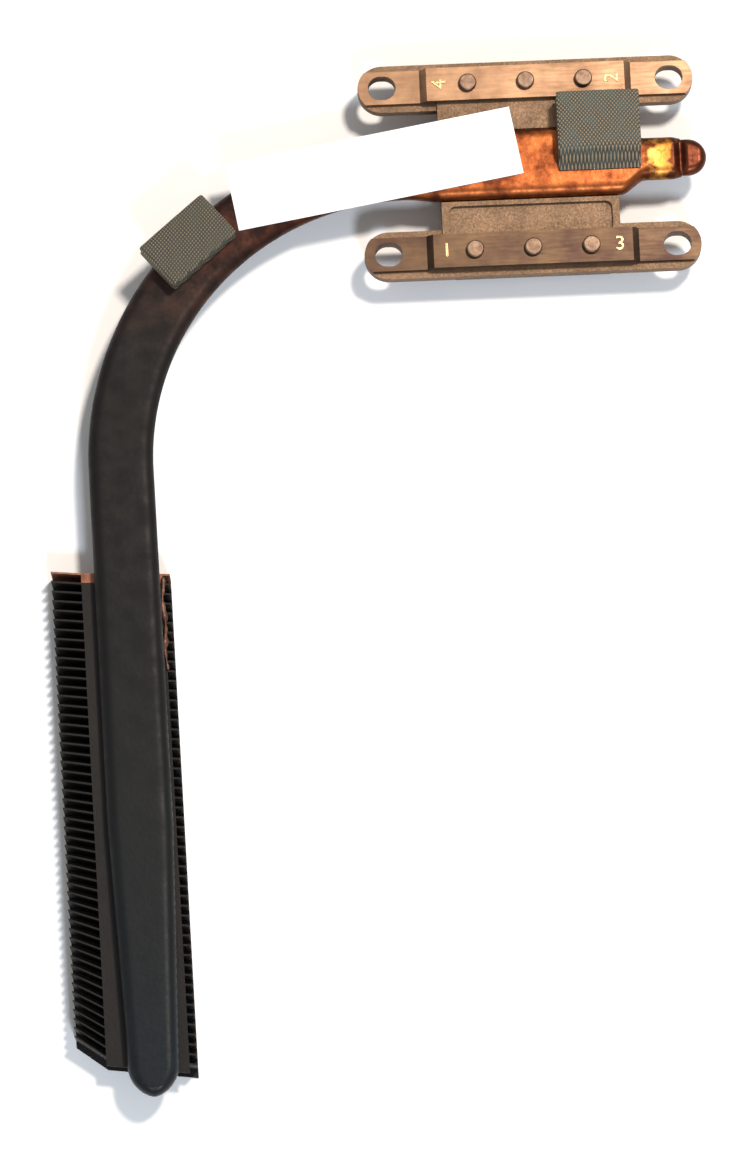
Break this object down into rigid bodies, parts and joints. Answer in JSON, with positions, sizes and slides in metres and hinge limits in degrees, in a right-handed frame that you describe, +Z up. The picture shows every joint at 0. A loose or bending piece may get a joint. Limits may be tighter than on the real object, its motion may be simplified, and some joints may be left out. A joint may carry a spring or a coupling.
{
  "type": "flat heat pipe cooler",
  "caption": "Flattened copper heat pipe bent in a J, joining a screw-down die-cast base with spring strips to a stack of thin cooling fins.",
  "frame": {"origin": "in plan the centre of the four screw slots, in height the contact face of the copper plate, which is also the level of the fins' feet", "axes": "+X along the spring strips towards the pipe's sealed tip, +Y away from the fins, +Z up out of the contact face through the base"},
  "size_m": [0.1129, 0.1736, 0.0136],
  "materials": {
    "pipe_copper": "tarnished copper, blackened towards the fins",
    "cast_alloy": "as-cast, dull",
    "plate_copper": "fly-cut, satin",
    "spring_steel": "rolled, satin",
    "rivet_steel": "satin",
    "label_paper": "matt white",
    "gasket_cloth": "conductive woven cloth over foam",
    "fin_dark": "blackened copper sheet",
    "fin_end_copper": "tarnished copper sheet"
  },
  "bodies": {
    "root": {"heat_pipe": "pipe_copper", "base_casting": "cast_alloy", "contact_plate": "plate_copper", "upper_strip": "spring_steel", "lower_strip": "spring_steel", "rivets": "rivet_steel", "label": "label_paper", "evaporator_gasket": "gasket_cloth", "bend_gasket": "gasket_cloth", "fin_01": "fin_end_copper", "fin_02": "fin_dark", "fin_03": "fin_dark", "fin_04": "fin_dark", "fin_05": "fin_dark", "fin_06": "fin_dark", "fin_07": "fin_dark", "fin_08": "fin_dark", "fin_09": "fin_dark", "fin_10": "fin_dark", "fin_11": "fin_dark", "fin_12": "fin_dark", "fin_13": "fin_dark", "fin_14": "fin_dark", "fin_15": "fin_dark", "fin_16": "fin_dark", "fin_17": "fin_dark", "fin_18": "fin_dark", "fin_19": "fin_dark", "fin_20": "fin_dark", "fin_21": "fin_dark", "fin_22": "fin_dark", "fin_23": "fin_dark", "fin_24": "fin_dark", "fin_25": "fin_dark", "fin_26": "fin_dark", "fin_27": "fin_dark", "fin_28": "fin_dark", "fin_29": "fin_dark", "fin_30": "fin_dark", "fin_31": "fin_dark", "fin_32": "fin_dark", "fin_33": "fin_dark", "fin_34": "fin_dark", "fin_35": "fin_dark", "fin_36": "fin_dark", "fin_37": "fin_dark", "fin_38": "fin_dark", "fin_39": "fin_dark", "fin_40": "fin_dark", "fin_41": "fin_dark", "fin_42": "fin_dark", "fin_43": "fin_dark", "fin_44": "fin_dark", "fin_45": "fin_dark", "fin_46": "fin_dark", "fin_47": "fin_dark", "fin_48": "fin_dark", "fin_49": "fin_dark", "fin_50": "fin_dark", "fin_51": "fin_dark"}
  },
  "joints": []
}
